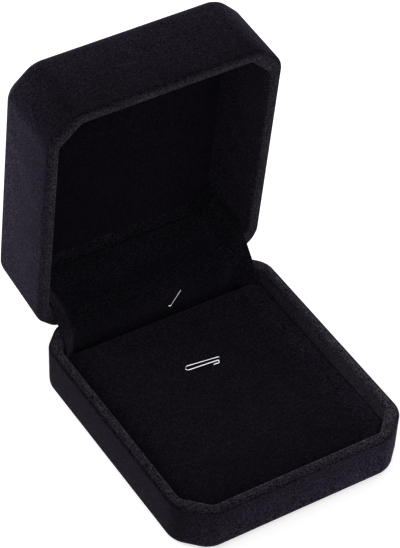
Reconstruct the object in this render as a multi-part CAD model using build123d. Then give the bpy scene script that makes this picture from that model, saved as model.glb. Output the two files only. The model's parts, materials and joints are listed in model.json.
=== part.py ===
"""Velvet pendant box with clipped corners: hinged lid, lift-out pad and two wire clips.

Millimetres. The origin is the centre of the base's underside, +Z is up, +Y points to the hinge
and -Y to the front. The lid is modelled shut and then turned open to its stop.
"""
import os
from math import cos, radians, sin, sqrt, tan

from build123d import *

# Outside of the box
box_width = 80.0
box_depth = 91.0
corner_cut = 8.4
corner_blend = 7.5
base_height = 16.8
lid_height = 27.2
rim_gap = 0.2
draft = 0.75
base_edge_radius = 4.0
lid_edge_radius = 5.0

# Layers of the walls, from the outside in
velvet = 0.6
shell_wall = 1.8
base_shell_floor = 1.6
lid_shell_floor = 1.8
card = 0.8
lining = 0.55

# Rolled cloth rim and the groove under it
rim_roll = 2.0
rim_inner_roll = 1.0
rim_cloth = 0.7
rim_drop = 1.6
rim_groove = 0.3

# Inner corners, where the folded card is scored, and cuts off more than the shell does
lining_cut = 7.2

# Bottom sheet of the base and top panel of the lid
sheet_inset = 4.7
sheet_gap = 0.15
sheet_thickness = 0.8
sheet_proud = 0.2
panel_gap = 0.15

# Hinge
open_angle = 84.6
hinge_setback = 1.2
hinge_length = 48.0
hinge_segments = 7
segment_gap = 0.15
knuckle_radius = 1.0
pin_radius = 0.5
pin_clearance = 0.04
pin_head_radius = 0.72
pin_head_length = 0.4
leaf_thickness = 0.5
leaf_height = 5.0
hinge_clearance = 0.3
pocket_gap = 0.05

# Rivets of the hinge
rivet_radius = 0.8
rivet_head_radius = 1.4
rivet_head_height = 0.2
rivet_flare_radius = 1.3
rivet_flare_depth = 0.5
rivet_short = 0.1
rivet_spacing = 34.0
rivet_drop = 3.1
rivet_clearance = 0.04

# Closing spring on the hinge pin
spring_wire = 0.25
spring_sides = 4
spring_turns = 4
spring_pitch = 1.0
spring_clearance = 0.1
spring_arm = 2.4
spring_bend = 0.4
spring_seat_gap = 0.02

# Cloth strip over the inside of the hinge
strip_thickness = 0.6
strip_side_inset = 5.8
strip_lid_run = 17.6
strip_end_gap = 0.5
strip_gap = 0.2

# Lift-out pad
pad_drop = 5.5
pad_gap = 0.4
pad_rear_inset = 10.0
pad_rear_corner = 4.2
pad_velvet = 0.55
pad_foam = 2.0
pad_card = 1.0
pad_edge_radius = 1.5
pad_flap = 6.0
pad_leg_setback = 7.0
pad_leg_cut = 9.0

# Wire clip that holds the pendant on the pad, in its own turned frame
clip_wire = 0.62
wire_sides = 10
clip_hole_gap = 0.06
clip_centre = (1.0, 12.35)
clip_turn = -7.3
clip_left = -6.0
clip_right = 6.0
clip_tail_left = 1.8
clip_tail_right = 5.7
clip_pitch = 1.77
clip_tail_step = 0.6
clip_low = 0.5
clip_high = 1.3
clip_tail_height = 0.42
clip_clinch = 3.0
clip_bend = 0.5

# Wire hook for the chain: X, and height from the base's rim
hook_root = (8.4, -5.75)
hook_bend = (6.0, -7.2)
hook_tip = (9.9, -1.3)
hook_stand_off = 0.45
hook_bend_radius = 0.38
hook_clinch = 2.4
hook_slot_gap = 0.1

# Places that follow from the sizes above
diagonal = 2 - sqrt(2)
slope = tan(radians(draft))
shell_inner = velvet + shell_wall
lining_wall = shell_inner + card + lining
base_rim = base_height
lid_rim = base_rim + rim_gap
base_depth = base_height - sheet_proud
base_inside = base_depth - velvet - base_shell_floor
base_floor = base_rim - base_inside
lid_inside = lid_height - velvet - lid_shell_floor
hinge_y = box_depth / 2 - hinge_setback
hinge_z = base_rim + rim_gap / 2
hinge_axis = Axis((0, hinge_y, hinge_z), (1, 0, 0))
leaf_back = box_depth / 2 - shell_inner
leaf_front = leaf_back - leaf_thickness
lining_face = box_depth / 2 - lining_wall
card_face = lining_face + lining
strip_half_width = box_width / 2 - strip_side_inset
pad_rear = box_depth / 2 - pad_rear_inset
pad_top = base_rim - pad_drop
foam_top = pad_top - pad_velvet
card_top = foam_top - pad_foam
card_under = card_top - pad_card


def octagon(width, depth, cut, blend=0.0):
    """Rectangle with clipped corners, rounded where a blend is given."""
    half_width = width / 2
    half_depth = depth / 2
    corners = [
        (half_width, cut - half_depth),
        (half_width, half_depth - cut),
        (half_width - cut, half_depth),
        (cut - half_width, half_depth),
        (-half_width, half_depth - cut),
        (-half_width, cut - half_depth),
        (cut - half_width, -half_depth),
        (half_width - cut, -half_depth),
    ]
    face = Polygon(*corners, align=None)
    if blend > 0:
        face = fillet(face.vertices(), blend)
    return face


def outer_plan(inset, blend=corner_blend):
    """Outline of the box at its rim, moved in by inset."""
    width = box_width - 2 * inset
    depth = box_depth - 2 * inset
    return octagon(width, depth, corner_cut - inset * diagonal, max(blend - inset, 0.0))


def inner_plan(inset):
    """Outline of the lining's face at the rim, moved in by inset, or out where it is negative."""
    width = box_width - 2 * (lining_wall + inset)
    depth = box_depth - 2 * (lining_wall + inset)
    return octagon(width, depth, lining_cut - inset * diagonal)


def tub(plan, depth, edge_radius=0.0):
    """Tapered block from the rim plane to a depth, rounded round its far face."""
    shape = extrude(plan, depth, taper=draft)
    if edge_radius > 0:
        shape = fillet(shape.faces().sort_by(Axis.Z)[-1].edges(), edge_radius)
    return shape


def core(depth, edge_radius):
    """Outside of a shell, with its far edge bevelled where the wrap over it is rounded."""
    shape = tub(outer_plan(velvet), depth - velvet)
    bevel = diagonal * (edge_radius - velvet)
    return chamfer(shape.faces().sort_by(Axis.Z)[-1].edges(), bevel)


def slab(low, high):
    """Block wider than the box between two heights."""
    return Pos(0, 0, (low + high) / 2) * Box(2 * box_width, 2 * box_depth, high - low)


def span(low, high):
    """Box between two opposite corners."""
    size = [b - a for a, b in zip(low, high)]
    centre = [(a + b) / 2 for a, b in zip(low, high)]
    return Pos(*centre) * Box(*size)


def as_base(part):
    """Places a tub, made rim down, as the base with its rim up."""
    return Pos(0, 0, base_rim) * (Rot(180, 0, 0) * part)


def as_lid(part):
    """Places a tub as the shut lid."""
    return Pos(0, 0, lid_rim) * part


def open_lid(part):
    """Turns a piece of the shut lid to its open stop."""
    return part.rotate(hinge_axis, -open_angle)


def turned(y, z):
    """Y and Z of a point of the shut lid once the lid is open."""
    angle = radians(open_angle)
    dy = y - hinge_y
    dz = z - hinge_z
    return hinge_y + dy * cos(angle) + dz * sin(angle), hinge_z - dy * sin(angle) + dz * cos(angle)


def make_shell(depth, inside_depth, edge_radius):
    """Moulded shell, sharp in its inner corners, with its rim a little below the rolled cloth."""
    inside = tub(outer_plan(shell_inner, 0.0), inside_depth)
    return core(depth, edge_radius) - inside - slab(-1, rim_cloth)


def make_cover(depth, edge_radius):
    """Velvet wrap over the outside of the shell, up to the groove under the rolled rim."""
    outside = tub(outer_plan(0), depth, edge_radius)
    return outside - core(depth, edge_radius) - slab(-1, rim_drop + rim_groove)


def make_lining(depth):
    """Velvet lining of the side walls, rolled over the rim and down to the groove."""
    rim = extrude(outer_plan(0), 2 * rim_roll, taper=draft)
    rim = fillet(rim.faces().sort_by(Axis.Z)[0].edges(), rim_roll)
    opening = tub(inner_plan(0), depth)
    rim -= opening
    mouth = rim.faces().sort_by(Axis.Z)[0].inner_wires()[0]
    rim = fillet(mouth.edges(), rim_inner_roll)
    seat = tub(outer_plan(velvet), depth) - slab(-1, rim_cloth)
    lip = rim - seat - slab(rim_drop, depth)
    skin = tub(inner_plan(-lining), depth) - opening - slab(-1, rim_cloth)
    return lip + skin


def make_lining_card(depth):
    """Folded card ring that stiffens the lining."""
    ring = tub(inner_plan(-lining - card), depth) - tub(inner_plan(-lining), depth)
    return ring - slab(-1, rim_cloth)


def barrel_room():
    """Space that the hinge barrel needs in both rims, open to the back."""
    half = hinge_length / 2 + pin_head_length + hinge_clearance
    reach = knuckle_radius + hinge_clearance
    front = leaf_front - spring_wire - 2 * spring_seat_gap
    return span((-half, front, hinge_z - reach), (half, box_depth / 2 + 1, hinge_z + reach))


def lip_room():
    """Space that the barrel needs in the rolled cloth, down to the groove."""
    half = hinge_length / 2 + pin_head_length + hinge_clearance
    reach = rim_gap / 2 + rim_drop + rim_groove / 2
    return span((-half, card_face, hinge_z - reach), (half, box_depth / 2 + 1, hinge_z + reach))


def leaf_pocket(front):
    """Pocket for both leaves, from front back to the plane that the leaves lie on."""
    half = hinge_length / 2 + pocket_gap
    reach = leaf_height + pocket_gap
    return span((-half, front, hinge_z - reach), (half, leaf_back, hinge_z + reach))


def make_rivets(side, extra=0.0):
    """Rivets of one leaf, or their holes where extra is given: side is -1 base, 1 lid."""
    length = box_depth / 2 - velvet - leaf_front - rivet_short
    shank = rivet_radius + extra
    flare = rivet_flare_radius + extra
    section = Polygon(
        (0, -rivet_head_height),
        (rivet_head_radius, -rivet_head_height),
        (rivet_head_radius, 0),
        (shank, 0),
        (shank, length - rivet_flare_depth),
        (flare, length),
        (0, length),
        align=None,
    )
    rivet = revolve(section, Axis.Y)
    height = hinge_z + side * rivet_drop
    left = Pos(-rivet_spacing / 2, leaf_front, height) * rivet
    right = Pos(rivet_spacing / 2, leaf_front, height) * rivet
    return left + right


def segment(index):
    """Centre and length along X of one segment of the hinge barrel."""
    pitch = hinge_length / hinge_segments
    return (index + 0.5) * pitch - hinge_length / 2, pitch - segment_gap


def make_leaf(side, indexes):
    """Stamped leaf with rolled knuckles: side is -1 for the base and 1 for the lid."""
    clear = knuckle_radius + hinge_clearance
    heights = sorted((hinge_z + side * clear, hinge_z + side * leaf_height))
    half = hinge_length / 2
    leaf = span((-half, leaf_front, heights[0]), (half, leaf_back, heights[1]))
    web_heights = sorted((side * knuckle_radius, side * (knuckle_radius - leaf_thickness)))
    bend_heights = sorted((side * clear, side * (knuckle_radius - leaf_thickness)))
    for index in indexes:
        centre, length = segment(index)
        left = centre - length / 2
        right = centre + length / 2
        low, high = [hinge_z + height for height in bend_heights]
        leaf += span((left, leaf_front, low), (right, leaf_back, high))
        low, high = [hinge_z + height for height in web_heights]
        leaf += span((left, leaf_front, low), (right, hinge_y, high))
        knuckle = Rot(0, 90, 0) * Cylinder(knuckle_radius, length)
        leaf += Pos(centre, hinge_y, hinge_z) * knuckle
    bore = Rot(0, 90, 0) * Cylinder(pin_radius + pin_clearance, 2 * hinge_length)
    leaf -= Pos(0, hinge_y, hinge_z) * bore
    return leaf - make_rivets(side, rivet_clearance)


def make_pin():
    """Hinge pin with peened ends."""
    pin = Cylinder(pin_radius, hinge_length)
    head = Cylinder(pin_head_radius, pin_head_length)
    head = chamfer(head.edges().sort_by(Axis.Z)[-1], pin_head_length / 2)
    head = Pos(0, 0, (hinge_length + pin_head_length) / 2) * head
    pin += head
    pin += Rot(180, 0, 0) * head
    return Pos(0, hinge_y, hinge_z) * (Rot(0, 90, 0) * pin)


def make_spring():
    """Torsion spring round the pin with an arm in front of each leaf, drawn with the lid open.

    It is drawn in the hinge's frame: its X is the box's Y, its Y the box's Z, its Z the box's X.
    """
    radius = pin_radius + spring_clearance + spring_wire / 2
    turns = spring_turns + (180 - open_angle) / 360
    height = turns * spring_pitch
    coil = Rot(0, 0, -90) * Helix(spring_pitch, height, radius)
    reach = hinge_y - leaf_front + spring_wire / 2 + spring_seat_gap
    start = coil @ 0
    start_way = coil % 0
    knee = start - start_way * (reach / start_way.X)
    foot = knee - Vector(0, spring_arm, 0)
    first = FilletPolyline(foot, knee, start, radius=spring_bend)
    end = coil @ 1
    end_way = coil % 1
    planar = sqrt(end_way.X ** 2 + end_way.Y ** 2)
    elbow = end + end_way * (reach / planar)
    angle = radians(open_angle)
    hand = elbow + Vector(sin(angle), cos(angle), 0) * spring_arm
    last = FilletPolyline(end, elbow, hand, radius=spring_bend)
    path = Wire(first.edges() + coil.edges() + last.edges())
    section = Plane(origin=path @ 0, z_dir=path % 0) * RegularPolygon(spring_wire / 2, spring_sides)
    spring = sweep(section, path=path)
    frame = Plane(origin=(0, hinge_y, hinge_z), x_dir=(0, 1, 0), z_dir=(1, 0, 0))
    return frame * (Pos(0, 0, -height / 2) * spring)


def strip_section(face, thickness_scale):
    """Outline in the Y-Z plane of the strip, where the lining's face stands at y = face."""
    gap = strip_gap * thickness_scale
    cloth = strip_thickness * thickness_scale
    low = base_floor + strip_end_gap
    base_corner = (face + rim_inner_roll, base_rim - rim_inner_roll)
    lid_corner = turned(face + rim_inner_roll, lid_rim + rim_inner_roll)
    along = (lid_corner[0] - base_corner[0], lid_corner[1] - base_corner[1])
    length = sqrt(along[0] ** 2 + along[1] ** 2)
    across = (-along[1] / length, along[0] / length)

    def line(offset):
        """Points from the base's floor over the hinge into the lid, offset from the lining."""
        reach = rim_inner_roll + offset
        low_y = face - offset - slope * (base_rim - low)
        end_y = face - offset - slope * strip_lid_run
        return [
            (low_y, low),
            (face - offset - slope * rim_inner_roll, base_rim - rim_inner_roll),
            (base_corner[0] + across[0] * reach, base_corner[1] + across[1] * reach),
            (lid_corner[0] + across[0] * reach, lid_corner[1] + across[1] * reach),
            turned(face - offset - slope * rim_inner_roll, lid_rim + rim_inner_roll),
            turned(end_y, lid_rim + strip_lid_run),
        ]

    return line(gap) + line(gap + cloth)[::-1]


def make_strip():
    """Cloth strip from the base's back wall over the hinge into the lid, bent into both corners."""
    corner = box_width / 2 - lining_wall - lining_cut
    end_face = lining_face - (strip_half_width - corner)
    yz = Plane.YZ
    middle = Polygon(*strip_section(lining_face, 1.0), align=None)
    end = Polygon(*strip_section(end_face, sqrt(2)), align=None)
    strip = extrude(yz.offset(-corner) * middle, 2 * corner, dir=(1, 0, 0))
    for side in (-1, 1):
        sections = Sketch() + [yz.offset(side * corner) * middle, yz.offset(side * strip_half_width) * end]
        strip += loft(sections, ruled=True)
    return strip


def pad_plan(inset):
    """Outline of the lift-out pad, moved in by inset."""
    half = box_width / 2 - lining_wall - pad_gap - inset
    front = box_depth / 2 - lining_wall - pad_gap - inset
    rear = pad_rear - inset
    cut = lining_cut - (pad_gap + inset) * diagonal
    corners = [
        (half, cut - front),
        (half, rear),
        (-half, rear),
        (-half, cut - front),
        (cut - half, -front),
        (half - cut, -front),
    ]
    face = Polygon(*corners, align=None)
    return fillet(face.vertices().sort_by(Axis.Y)[-2:], pad_rear_corner - inset)


def pad_block(inset, low, high):
    """Block of the pad's outline between two heights."""
    return Pos(0, 0, low) * extrude(pad_plan(inset), high - low)


def top_edges(block):
    """Edges round the top of a block."""
    return block.faces().sort_by(Axis.Z)[-1].edges()


def make_platform():
    """Folded card platform: a plate on a front leg and two side legs, open at the back."""
    platform = pad_block(pad_velvet, card_under, card_top)
    side = box_width / 2 - lining_wall - pad_gap - pad_velvet
    front = box_depth / 2 - lining_wall - pad_gap - pad_velvet
    rear = pad_rear - pad_leg_setback
    for x in (-side, side - pad_card):
        platform += span((x, pad_leg_cut - front, base_floor), (x + pad_card, rear, card_under))
    half = side - pad_leg_cut
    platform += span((-half, -front, base_floor), (half, pad_card - front, card_under))
    return platform


def make_foam():
    """Foam layer on the platform, with its top edge cut off at a slant."""
    block = pad_block(pad_velvet, card_top, foam_top)
    return chamfer(top_edges(block), diagonal * (pad_edge_radius - pad_velvet))


def make_pad_cover():
    """Velvet over the foam, down the sides, and turned under the back edge."""
    under = card_under - pad_velvet
    outside = pad_block(0, under, pad_top)
    outside = fillet(top_edges(outside), pad_edge_radius)
    inside = pad_block(pad_velvet, card_under, card_top) + make_foam()
    window = pad_block(pad_velvet, under - 1, card_under)
    window -= span((-box_width, pad_rear - pad_flap, 0), (box_width, box_depth, pad_top))
    return outside - inside - window


def clip_point(x, y, z):
    """Point of the pendant clip, from its own turned frame."""
    angle = radians(clip_turn)
    along = x * cos(angle) - y * sin(angle)
    across = x * sin(angle) + y * cos(angle)
    return clip_centre[0] + along, clip_centre[1] + across, z


def wire(points, radii, diameter):
    """Round wire along straight runs with bends."""
    path = FilletPolyline(*points, radius=radii)
    section = Plane(origin=path @ 0, z_dir=path % 0) * RegularPolygon(diameter / 2, wire_sides)
    return sweep(section, path=path)


def make_pendant_clip():
    """Bent wire that lies on the pad, with both legs through it and clinched under the card."""
    rear = clip_pitch / 2
    tail = -rear - clip_tail_step
    under = card_under - clip_wire / 2 - clip_hole_gap
    points = [
        clip_point(clip_right - clip_clinch, rear, under),
        clip_point(clip_right, rear, under),
        clip_point(clip_right, rear, pad_top + clip_low),
        clip_point(clip_left, rear, pad_top + clip_low),
        clip_point(clip_left, -rear, pad_top + clip_low),
        clip_point(clip_tail_right, -rear, pad_top + clip_high),
        clip_point(clip_tail_right, tail, pad_top + clip_tail_height),
        clip_point(clip_tail_left, tail, pad_top + clip_tail_height),
        clip_point(clip_tail_left, tail, under),
        clip_point(clip_tail_left - clip_clinch, tail, under),
    ]
    turn = 0.97 * rear
    back = 0.45 * sqrt(clip_tail_step ** 2 + (clip_high - clip_tail_height) ** 2)
    radii = [clip_bend, clip_bend, turn, turn, back, back, clip_bend, clip_bend]
    return wire(points, radii, clip_wire)


def clip_holes():
    """Holes of the pendant clip's legs through the pad."""
    rear = clip_pitch / 2
    places = [(clip_right, rear), (clip_tail_left, -rear - clip_tail_step)]
    drill = Cylinder(clip_wire / 2 + clip_hole_gap, 2 * pad_top)
    holes = [Pos(*clip_point(x, y, pad_top)) * drill for x, y in places]
    return holes[0] + holes[1]


def hook_slot_y():
    """Y of the hook's clinched end, in the slot of the card behind the lining."""
    return card_face + clip_wire / 2 + hook_slot_gap - slope * (-hook_root[1])


def make_chain_hook():
    """Wire hook on the back wall: out through the cloth, round a tight bend and up to its tip."""
    front = lining_face - strip_gap - strip_thickness - hook_stand_off
    inside = hook_slot_y()
    root_z = base_rim + hook_root[1]
    points = [
        (hook_root[0], inside, root_z - hook_clinch),
        (hook_root[0], inside, root_z),
        (hook_root[0], front, root_z),
        (hook_bend[0], front, base_rim + hook_bend[1]),
        (hook_tip[0], front, base_rim + hook_tip[1]),
    ]
    return wire(points, [hook_bend_radius] * 3, clip_wire)


def hook_holes():
    """Hole of the hook's leg through the cloth, and the slot in the card for its clinched end."""
    root_z = base_rim + hook_root[1]
    radius = clip_wire / 2 + clip_hole_gap
    drill = Rot(90, 0, 0) * Cylinder(radius, 2 * (card_face - lining_face) + 4 * strip_thickness)
    hole = Pos(hook_root[0], lining_face, root_z) * drill
    low = (hook_root[0] - radius, lining_face + lining / 2, root_z - hook_clinch - hook_slot_gap)
    high = (hook_root[0] + radius, leaf_back + 1, root_z + radius)
    return hole, span(low, high)


def make_bottom_sheet():
    """Sheet glued to the underside inside the turned edge of the wrap."""
    return extrude(outer_plan(sheet_inset + sheet_gap), sheet_thickness)


def make_base():
    """Pieces of the base, by name."""
    shell = as_base(make_shell(base_depth, base_inside, base_edge_radius))
    cover = as_base(make_cover(base_depth, base_edge_radius))
    cover -= extrude(outer_plan(sheet_inset), sheet_thickness)
    liner = as_base(make_lining(base_inside))
    stiffener = as_base(make_lining_card(base_inside))
    hole, slot = hook_holes()
    strip = make_strip()
    return {
        "base_bottom_sheet": make_bottom_sheet(),
        "base_cover": cover,
        "base_shell": shell - barrel_room() - leaf_pocket(lining_face) - make_rivets(-1, rivet_clearance),
        "base_lining_card": stiffener - barrel_room() - leaf_pocket(lining_face) - slot,
        "base_lining": liner - lip_room() - hole,
        "hinge_cover": strip - hole,
        "chain_hook": make_chain_hook(),
    }


def make_lid():
    """Pieces of the lid, by name, turned open."""
    shell = as_lid(make_shell(lid_height, lid_inside, lid_edge_radius))
    cover = as_lid(make_cover(lid_height, lid_edge_radius))
    liner = as_lid(make_lining(lid_inside))
    stiffener = as_lid(make_lining_card(lid_inside))
    inset = panel_gap + slope * lid_inside
    panel_plan = inner_plan(inset)
    top = lid_rim + lid_inside
    panel_card = Pos(0, 0, top - card) * extrude(panel_plan, card)
    panel_velvet = Pos(0, 0, top - card - lining) * extrude(panel_plan, lining)
    shut = {
        "lid_cover": cover,
        "lid_shell": shell - barrel_room() - leaf_pocket(lining_face) - make_rivets(1, rivet_clearance),
        "lid_lining_card": stiffener - barrel_room() - leaf_pocket(lining_face),
        "lid_lining": liner - lip_room(),
        "lid_panel_card": panel_card,
        "lid_panel_velvet": panel_velvet,
    }
    return {name: open_lid(part) for name, part in shut.items()}


def make_hinge():
    """Pieces of the hinge, by name."""
    lid_leaf = make_leaf(1, (1, 5))
    return {
        "hinge_base_leaf": make_leaf(-1, (0, 2, 4, 6)),
        "hinge_lid_leaf": open_lid(lid_leaf),
        "hinge_pin": make_pin(),
        "hinge_spring": make_spring(),
        "hinge_base_rivets": make_rivets(-1),
        "hinge_lid_rivets": open_lid(make_rivets(1)),
    }


def make_pad():
    """Pieces of the lift-out pad, by name."""
    holes = clip_holes()
    return {
        "pad_platform": make_platform() - holes,
        "pad_foam": make_foam() - holes,
        "pad_cover": make_pad_cover() - holes,
        "pendant_clip": make_pendant_clip(),
    }


def main():
    """Writes one STEP file for each piece."""
    os.makedirs("parts", exist_ok=True)
    pieces = {**make_base(), **make_hinge(), **make_lid(), **make_pad()}
    for name, part in pieces.items():
        export_step(part, f"parts/{name}.step")
        print(f"{name}: {part.volume:.1f} mm3, {len(part.solids())} solid(s)")


main()
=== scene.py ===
"""Looks of a velvet pendant box with a hinged lid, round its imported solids.

Metres. The frame is the solids' own: the origin is the centre of the base's underside, +Z is up
and +Y points to the hinge. Each velvet piece is modelled rim down, with the rim's plane at z = 0,
and then placed on the base or in the lid, which stands open.
"""
import json
import math

import bmesh
import bpy
from bpy.props import FloatProperty, FloatVectorProperty, PointerProperty
from mathutils import Euler, Matrix, Vector


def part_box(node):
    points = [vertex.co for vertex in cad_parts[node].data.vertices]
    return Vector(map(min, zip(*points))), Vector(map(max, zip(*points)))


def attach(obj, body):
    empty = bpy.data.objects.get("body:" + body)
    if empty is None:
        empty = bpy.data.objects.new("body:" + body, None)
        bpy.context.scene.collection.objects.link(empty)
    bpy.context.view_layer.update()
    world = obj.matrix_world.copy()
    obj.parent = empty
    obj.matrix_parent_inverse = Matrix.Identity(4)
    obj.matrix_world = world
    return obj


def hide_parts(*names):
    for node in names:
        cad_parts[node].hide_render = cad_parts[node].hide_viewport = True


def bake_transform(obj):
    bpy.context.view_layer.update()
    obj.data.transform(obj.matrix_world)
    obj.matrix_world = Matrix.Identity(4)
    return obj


bl_info = {
    "name": "Velvet Pendant Box",
    "version": (1, 0, 0),
    "blender": (4, 5, 0),
    "location": "3D View > Sidebar > Pendant Box",
    "description": "Models the velvet, the pad and the finishes of a hinged pendant box",
    "category": "Object",
}

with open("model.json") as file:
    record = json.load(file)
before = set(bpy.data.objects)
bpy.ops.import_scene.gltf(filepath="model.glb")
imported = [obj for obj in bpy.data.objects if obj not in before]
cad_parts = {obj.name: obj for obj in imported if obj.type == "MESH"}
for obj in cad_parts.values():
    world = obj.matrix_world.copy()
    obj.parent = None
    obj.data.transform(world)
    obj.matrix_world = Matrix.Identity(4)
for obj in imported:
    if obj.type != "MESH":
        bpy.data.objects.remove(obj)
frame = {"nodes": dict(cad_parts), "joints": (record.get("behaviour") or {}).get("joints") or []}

MM = 0.001

# The solids' own places
BASE_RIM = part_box("base_lining")[1].z
LID_HINGE = frame["joints"][0]
HINGE = Vector(LID_HINGE["pos_m"])
OPEN_ANGLE = math.radians(LID_HINGE["range_deg"][1])

# Draft of the walls, away from the rim
SLOPE = math.tan(math.radians(0.75))
# What a blend takes off each side, as a share of its radius, where sides meet at 135 degrees
HALF_DIAGONAL = math.tan(math.radians(22.5))
# How much less a clipped corner takes off a plan that is set in by 1
INSET_TO_CUT = 2 - math.sqrt(2)

# Heights nearer than this are the same, and an outline is found within this margin
SAME_HEIGHT = 0.005 * MM
PLAN_MARGIN = 0.05 * MM
# An edge nearer to a corner than this belongs to it
AT_CORNER = 1.0 * MM
# An upright edge rises by more than this, and leans by less
UPRIGHT = 0.4 * MM
CUT_THRESHOLD = 0.001 * MM
# A ring's faces have four sides, and a whole end has more
RING_SIDES = 4

# Segments of the blends, the rolls and the wires
CORNER_SEGMENTS = 6
ROLL_SEGMENTS = 8
TURN_SEGMENTS = 5
PANEL_SEGMENTS = 3
PAD_REAR_SEGMENTS = 10
PAD_FRONT_SEGMENTS = 4
PAD_EDGE_SEGMENTS = 6
WIRE_SIDES = 14
BEND_STEPS = 8
SPRING_TURNS = 4
SPRING_SIDES = 8
SPRING_STEPS_PER_TURN = 16

# The cloth solver works on a pad this many times as large, for this many frames
CLOTH_SCALE = 25
CLOTH_FRAMES = 20
CLOTH_PRESSURE = 4.0

# Rows of the strip on the base, over the hinge and in the lid, and columns of half its width
STRIP_BASE_ROWS = 10
STRIP_HINGE_ROWS = 10
STRIP_LID_ROWS = 12
STRIP_COLUMNS = 24
STRIP_CORNER_COLUMNS = 4

# Where a field of pile begins and is full, from the middle outwards
OUTER_SIDE = (33 * MM, 39 * MM)
OUTER_FRONT = (38 * MM, 44 * MM)
INNER_WALL = (33 * MM, 37 * MM)

# The range that most of a noise keeps to
NOISE_RANGE = (0.3, 0.7)


def length(name, description, default):
    """Property that holds a length."""
    return FloatProperty(name=name, description=description, default=default, unit="LENGTH",
                         precision=5)


def colour(name, description, default):
    """Property that holds a colour."""
    return FloatVectorProperty(name=name, description=description, default=default,
                               subtype="COLOR", min=0.0, max=1.0)


class PendantBoxSizes(bpy.types.PropertyGroup):
    """Sizes of the new pieces."""

    width: length("Width", "Width of the box at its rim", 80 * MM)
    depth: length("Depth", "Depth of the box at its rim, from front to back", 91 * MM)
    corner_cut: length("Corner cut", "How much a clipped front corner takes off a side", 8.4 * MM)
    base_rear_cut: length("Base rear cut", "The same at the base's rear corners", 8.0 * MM)
    lid_rear_cut: length("Lid rear cut", "The same at the lid's rear corners", 7.3 * MM)
    corner_blend: length("Corner blend", "Radius where a clipped corner meets a side", 7.5 * MM)
    base_height: length("Base height", "Height of the base's wrap below the rim", 16.6 * MM)
    lid_height: length("Lid height", "Height of the lid above its rim", 27.2 * MM)
    rim_gap: length("Rim gap", "Gap between the rims when the box is shut", 0.2 * MM)
    base_edge: length("Base edge radius", "Radius round the base's underside", 3.2 * MM)
    lid_edge: length("Lid edge radius", "Radius round the lid's top", 4.2 * MM)
    base_wall: length("Base wall", "Thickness of the base's wall with both velvets", 3.75 * MM)
    lid_wall: length("Lid wall", "Thickness of the lid's wall with both velvets", 4.25 * MM)
    lid_floor: length("Lid floor", "Thickness of the lid's top with its outer velvet", 2.4 * MM)
    lid_shift: length("Lid shift", "How far the lid sits off centre to the right", 0.2 * MM)
    lid_back: length("Lid set back", "How far the shut lid sits back over the base", 0.2 * MM)
    lining_cut: length("Lining cut", "How much the lining's clipped corners take off", 7.2 * MM)
    lining_blend: length("Lining blend", "Radius in the lining's corners", 2.0 * MM)
    rim_roll: length("Rim roll", "Radius of the rolled rim's outer edge", 2.0 * MM)
    rim_inner_roll: length("Inner rim roll", "Radius of the rolled rim's inner edge", 1.0 * MM)
    base_lip: length("Base lip", "How far the base's rolled rim comes down outside", 0.35 * MM)
    lid_lip: length("Lid lip", "How far the lid's rolled rim comes down outside", 0.2 * MM)
    seam: length("Seam", "Gap between the rolled rim and the outer velvet", 0.03 * MM)
    seam_tuck: length("Seam tuck", "How far the outer velvet turns in at the seam", 0.25 * MM)
    base_turn: length("Base turn", "Radius of the base's outer velvet at the seam", 0.7 * MM)
    lid_turn: length("Lid turn", "Radius of the lid's outer velvet at the seam", 1.0 * MM)
    cloth: length("Cloth", "Thickness of the velvet", 0.5 * MM)
    panel_depth: length("Panel depth", "How far the panel's face stands out in the lid", 1.35 * MM)
    panel_gap: length("Panel gap", "Gap between the panel and the lining", 0.15 * MM)
    panel_edge: length("Panel edge radius", "Radius round the panel's face", 0.3 * MM)
    strip_in_lid: length("Strip in the lid", "How far the strip reaches into the lid", 17.6 * MM)
    clip_wire: length("Clip wire", "Diameter of the clip's wire", 0.5 * MM)
    hook_wire: length("Hook wire", "Diameter of the hook's wire", 0.62 * MM)
    spring_wire: length("Spring wire", "Diameter of the spring's wire", 0.25 * MM)
    spring_radius: length("Spring radius", "Radius of the spring at its wire's middle", 0.725 * MM)
    spring_pitch: length("Spring pitch", "How far the spring climbs in a turn", 1.0 * MM)
    spring_arm: length("Spring arm", "Length of an arm on its leaf", 2.4 * MM)
    spring_bend: length("Spring bend", "Radius where an arm turns onto its leaf", 0.4 * MM)


class PendantBoxColours(bpy.types.PropertyGroup):
    """Colours of the finishes."""

    # Each velvet has a lit copy and a shaded copy of one colour, and the painted light attribute
    # paints light and shade between them
    wrap: colour("Wrap", "Standing pile of the outer velvet", (0.0058, 0.0047, 0.0078))
    wrap_shade: colour("Wrap, flat", "Flat pile of the outer velvet", (0.0022, 0.0018, 0.0028))
    lining: colour("Lining", "Standing pile of the linings", (0.0195, 0.0176, 0.0230))
    lining_shade: colour("Lining, flat", "Flat pile of the linings", (0.0020, 0.0015, 0.0029))
    pad: colour("Pad", "Pile of the pad's velvet", (0.0100, 0.0078, 0.0130))
    pad_shade: colour("Pad, flat", "Flat pile of the pad's velvet", (0.0018, 0.0014, 0.0024))
    sheen: colour("Sheen", "Tint of the light that the pile scatters", (0.75, 0.62, 1.0))
    wire: colour("Wire", "Bright plated wire", (0.62, 0.62, 0.64))
    hinge: colour("Hinge", "Plated hinge", (0.56, 0.55, 0.52))
    shell: colour("Shell", "Moulded plastic of the shells", (0.02, 0.02, 0.02))
    card: colour("Card", "Grey card", (0.18, 0.16, 0.14))
    paper: colour("Paper", "Grained paper under the base", (0.010, 0.009, 0.011))
    foam: colour("Foam", "Foam under the pad's velvet", (0.55, 0.55, 0.52))
    floor: colour("Floor", "Floor and backdrop", (0.80, 0.80, 0.80))


def sizes():
    """The scene's sizes."""
    return bpy.context.scene.pendant_box_sizes


def colours():
    """The scene's colours."""
    return bpy.context.scene.pendant_box_colours


# Selecting and shaping


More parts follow.
